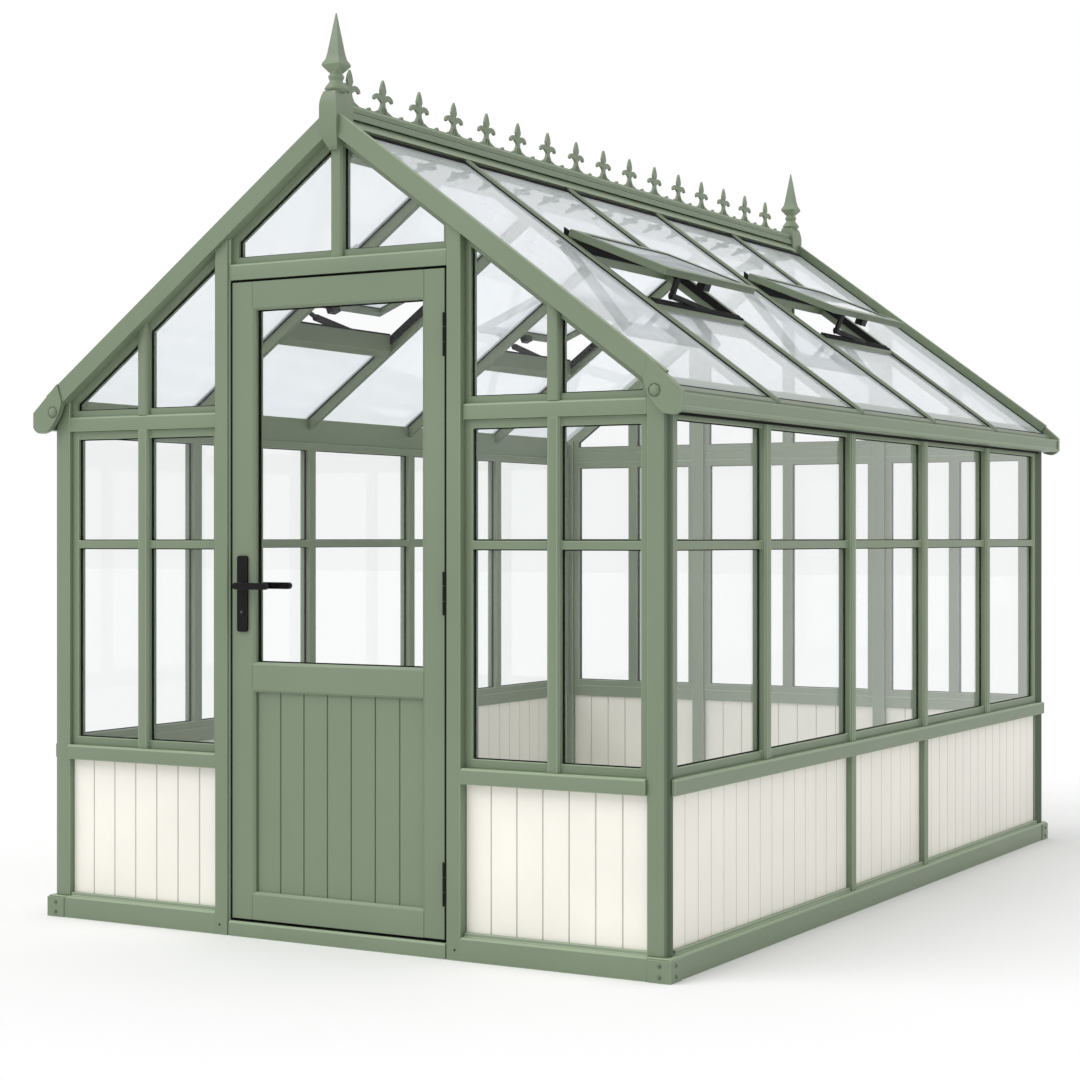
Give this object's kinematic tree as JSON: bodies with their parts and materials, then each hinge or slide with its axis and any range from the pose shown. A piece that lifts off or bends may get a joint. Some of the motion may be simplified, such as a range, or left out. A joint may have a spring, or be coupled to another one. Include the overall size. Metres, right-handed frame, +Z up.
{
  "type": "glass greenhouse",
  "caption": "Glazed garden greenhouse with a boarded low wall, hinged door, open roof vents, side gutters and ornamental ridge cresting with finials.",
  "frame": {"origin": "middle of the whole building's footprint, on the ground", "axes": "+Z up, +Y from the door end to the back gable along the ridge, +X across to the right as seen when facing the door"},
  "size_m": [2.274, 3.3942, 2.717],
  "materials": {
    "sage_timber": "sage green satin paint on planed timber",
    "sage_metal": "sage green powder coat",
    "cream_boards": "cream satin paint on tongue and groove boards",
    "clear_glass": "clear toughened glass",
    "black_fittings": "black powder coat"
  },
  "bodies": {
    "building": {"end_plinths": "sage_timber", "side_plinths": "sage_timber", "door_threshold": "sage_timber", "corner_posts": "sage_timber", "door_posts": "sage_timber", "door_head": "sage_timber", "back_posts": "sage_timber", "side_dwarf_posts": "sage_timber", "end_dwarf_rails": "sage_timber", "side_dwarf_rails": "sage_timber", "front_window_frames": "sage_timber", "back_window_frames": "sage_timber", "side_window_frames": "sage_timber", "end_eaves_rails": "sage_timber", "side_eaves_beams": "sage_timber", "front_gable_frames": "sage_timber", "back_gable_frames": "sage_timber", "gable_rafters": "sage_timber", "ridge_beam": "sage_timber", "corner_brackets": "sage_metal", "roof_bars": "sage_metal", "eaves_strips": "sage_metal", "vent_trimmers": "sage_metal", "vent_frames": "sage_metal", "side_gutters": "sage_metal", "gutter_end_caps": "sage_metal", "ridge_cresting": "sage_metal", "ridge_finials": "sage_metal", "end_dwarf_panels": "cream_boards", "side_dwarf_panels": "cream_boards", "front_window_glass": "clear_glass", "back_window_glass": "clear_glass", "side_window_glass": "clear_glass", "gable_glass": "clear_glass", "roof_glass": "clear_glass", "vent_glass": "clear_glass", "vent_openers": "black_fittings", "hinge_knuckles": "black_fittings"},
    "door": {"door_frame": "sage_timber", "door_panel": "sage_timber", "door_glass": "clear_glass", "door_hinge_leaves": "black_fittings", "door_lock_plates": "black_fittings"},
    "handle": {"door_levers": "black_fittings"}
  },
  "joints": [
    {"name": "door_hinge", "type": "hinge", "parent": "building", "child": "door", "pos_m": [0.3805, -1.6625, 1], "axis": [0, 0, 1], "range_deg": [0, 110]},
    {"name": "lever_turn", "type": "hinge", "parent": "door", "child": "handle", "pos_m": [-0.3365, -1.655, 1.046], "axis": [0, 1, 0], "range_deg": [0, 40], "stiffness_Nm_per_rad": 1, "springref_deg": -34.38}
  ]
}
